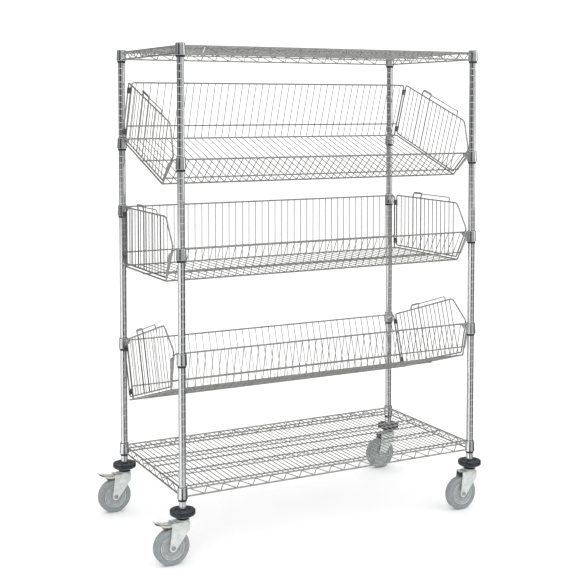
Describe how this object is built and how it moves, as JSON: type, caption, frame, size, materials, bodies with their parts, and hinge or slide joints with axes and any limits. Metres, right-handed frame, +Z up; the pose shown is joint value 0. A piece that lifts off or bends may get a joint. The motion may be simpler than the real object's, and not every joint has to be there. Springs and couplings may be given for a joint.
{
  "type": "wire shelf cart",
  "caption": "Tall wire cart on swivel casters: flat wire shelves at top and bottom and tilted hanging wire baskets between, on grooved round posts.",
  "frame": {"origin": "on the floor under the middle of the whole object", "axes": "+Z up, +X to the right along the long side, +Y from the open front of the baskets to their backs"},
  "size_m": [1.3424, 0.672, 1.76],
  "materials": {
    "chrome_post": "polished chrome plate",
    "chrome_wire": "bright chrome-plated wire",
    "zinc_fork": "bright zinc-plated pressed steel",
    "black_rubber": "matte black rubber",
    "grey_tyre": "smooth grey rubber",
    "grey_hub": "light grey moulded plastic"
  },
  "bodies": {
    "frame": {"post_front_left": "chrome_post", "post_front_right": "chrome_post", "post_back_left": "chrome_post", "post_back_right": "chrome_post", "top_shelf": "chrome_wire", "bottom_shelf": "chrome_wire", "upper_collar_front_left": "chrome_post", "upper_collar_front_right": "chrome_post", "upper_collar_back_left": "chrome_post", "upper_collar_back_right": "chrome_post", "middle_collar_front_left": "chrome_post", "middle_collar_front_right": "chrome_post", "middle_collar_back_left": "chrome_post", "middle_collar_back_right": "chrome_post", "lower_collar_front_left": "chrome_post", "lower_collar_front_right": "chrome_post", "lower_collar_back_left": "chrome_post", "lower_collar_back_right": "chrome_post", "bumper_front_left": "black_rubber", "caster_stem_front_left": "zinc_fork", "bumper_front_right": "black_rubber", "caster_stem_front_right": "zinc_fork", "bumper_back_left": "black_rubber", "caster_stem_back_left": "zinc_fork", "bumper_back_right": "black_rubber", "caster_stem_back_right": "zinc_fork"},
    "upper_basket": {"upper_basket_back": "chrome_wire", "upper_basket_floor": "chrome_wire", "upper_basket_lip": "chrome_wire"},
    "upper_left_side": {"upper_basket_left_side": "chrome_wire"},
    "upper_right_side": {"upper_basket_right_side": "chrome_wire"},
    "middle_basket": {"middle_basket_back": "chrome_wire", "middle_basket_floor": "chrome_wire", "middle_basket_lip": "chrome_wire"},
    "middle_left_side": {"middle_basket_left_side": "chrome_wire"},
    "middle_right_side": {"middle_basket_right_side": "chrome_wire"},
    "lower_basket": {"lower_basket_back": "chrome_wire", "lower_basket_floor": "chrome_wire", "lower_basket_lip": "chrome_wire"},
    "lower_left_side": {"lower_basket_left_side": "chrome_wire"},
    "lower_right_side": {"lower_basket_right_side": "chrome_wire"},
    "caster_front_left": {"caster_fork_front_left": "zinc_fork", "caster_axle_front_left": "zinc_fork"},
    "wheel_front_left": {"wheel_hub_front_left": "grey_hub", "wheel_tyre_front_left": "grey_tyre"},
    "pedal_front_left": {"brake_pedal_front_left": "zinc_fork"},
    "caster_front_right": {"caster_fork_front_right": "zinc_fork", "caster_axle_front_right": "zinc_fork"},
    "wheel_front_right": {"wheel_hub_front_right": "grey_hub", "wheel_tyre_front_right": "grey_tyre"},
    "caster_back_left": {"caster_fork_back_left": "zinc_fork", "caster_axle_back_left": "zinc_fork"},
    "wheel_back_left": {"wheel_hub_back_left": "grey_hub", "wheel_tyre_back_left": "grey_tyre"},
    "pedal_back_left": {"brake_pedal_back_left": "zinc_fork"},
    "caster_back_right": {"caster_fork_back_right": "zinc_fork", "caster_axle_back_right": "zinc_fork"},
    "wheel_back_right": {"wheel_hub_back_right": "grey_hub", "wheel_tyre_back_right": "grey_tyre"}
  },
  "joints": [
    {"name": "upper_basket_lift", "type": "hinge", "parent": "frame", "child": "upper_basket", "pos_m": [0.03025, -0.25446, 1.3691], "axis": [1, 0, 0], "range_deg": [0, 9]},
    {"name": "upper_left_side_fold", "type": "hinge", "parent": "upper_basket", "child": "upper_left_side", "pos_m": [-0.56675, 0.25446, 1.4259], "axis": [0, -0.3313, 0.9435], "range_deg": [0, 70]},
    {"name": "upper_right_side_fold", "type": "hinge", "parent": "upper_basket", "child": "upper_right_side", "pos_m": [0.62725, 0.25446, 1.4259], "axis": [0, -0.3313, 0.9435], "range_deg": [-70, 0]},
    {"name": "middle_basket_lift", "type": "hinge", "parent": "frame", "child": "middle_basket", "pos_m": [0.03025, -0.24943, 1.0643], "axis": [1, 0, 0], "range_deg": [0, 15]},
    {"name": "middle_left_side_fold", "type": "hinge", "parent": "middle_basket", "child": "middle_left_side", "pos_m": [-0.56675, 0.2497, 0.9499], "axis": [0, -0.0012, 1], "range_deg": [0, 70]},
    {"name": "middle_right_side_fold", "type": "hinge", "parent": "middle_basket", "child": "middle_right_side", "pos_m": [0.62725, 0.2497, 0.9499], "axis": [0, -0.0012, 1], "range_deg": [-70, 0]},
    {"name": "lower_basket_lift", "type": "hinge", "parent": "frame", "child": "lower_basket", "pos_m": [0.03025, -0.25419, 0.7087], "axis": [1, 0, 0], "range_deg": [0, 15]},
    {"name": "lower_left_side_fold", "type": "hinge", "parent": "lower_basket", "child": "lower_left_side", "pos_m": [-0.56675, 0.18877, 0.45176], "axis": [0, 0.2947, 0.9556], "range_deg": [0, 70]},
    {"name": "lower_right_side_fold", "type": "hinge", "parent": "lower_basket", "child": "lower_right_side", "pos_m": [0.62725, 0.18877, 0.45176], "axis": [0, 0.2947, 0.9556], "range_deg": [-70, 0]},
    {"name": "caster_front_left_swivel", "type": "hinge", "parent": "frame", "child": "caster_front_left", "pos_m": [-0.56675, -0.292, 0.147], "axis": [0, 0, 1], "continuous": true},
    {"name": "wheel_front_left_roll", "type": "hinge", "parent": "caster_front_left", "child": "wheel_front_left", "pos_m": [-0.60875, -0.292, 0.0625], "axis": [0, 1, 0], "continuous": true},
    {"name": "brake_pedal_front_left_press", "type": "hinge", "parent": "caster_front_left", "child": "pedal_front_left", "pos_m": [-0.60975, -0.292, 0.136], "axis": [0, 1, 0], "range_deg": [-8, 0]},
    {"name": "caster_front_right_swivel", "type": "hinge", "parent": "frame", "child": "caster_front_right", "pos_m": [0.62725, -0.292, 0.147], "axis": [0, 0, 1], "continuous": true},
    {"name": "wheel_front_right_roll", "type": "hinge", "parent": "caster_front_right", "child": "wheel_front_right", "pos_m": [0.58525, -0.292, 0.0625], "axis": [0, 1, 0], "continuous": true},
    {"name": "caster_back_left_swivel", "type": "hinge", "parent": "frame", "child": "caster_back_left", "pos_m": [-0.56675, 0.292, 0.147], "axis": [0, 0, 1], "continuous": true},
    {"name": "wheel_back_left_roll", "type": "hinge", "parent": "caster_back_left", "child": "wheel_back_left", "pos_m": [-0.60875, 0.292, 0.0625], "axis": [0, 1, 0], "continuous": true},
    {"name": "brake_pedal_back_left_press", "type": "hinge", "parent": "caster_back_left", "child": "pedal_back_left", "pos_m": [-0.60975, 0.292, 0.136], "axis": [0, 1, 0], "range_deg": [-8, 0]},
    {"name": "caster_back_right_swivel", "type": "hinge", "parent": "frame", "child": "caster_back_right", "pos_m": [0.62725, 0.292, 0.147], "axis": [0, 0, 1], "continuous": true},
    {"name": "wheel_back_right_roll", "type": "hinge", "parent": "caster_back_right", "child": "wheel_back_right", "pos_m": [0.58525, 0.292, 0.0625], "axis": [0, 1, 0], "continuous": true}
  ]
}
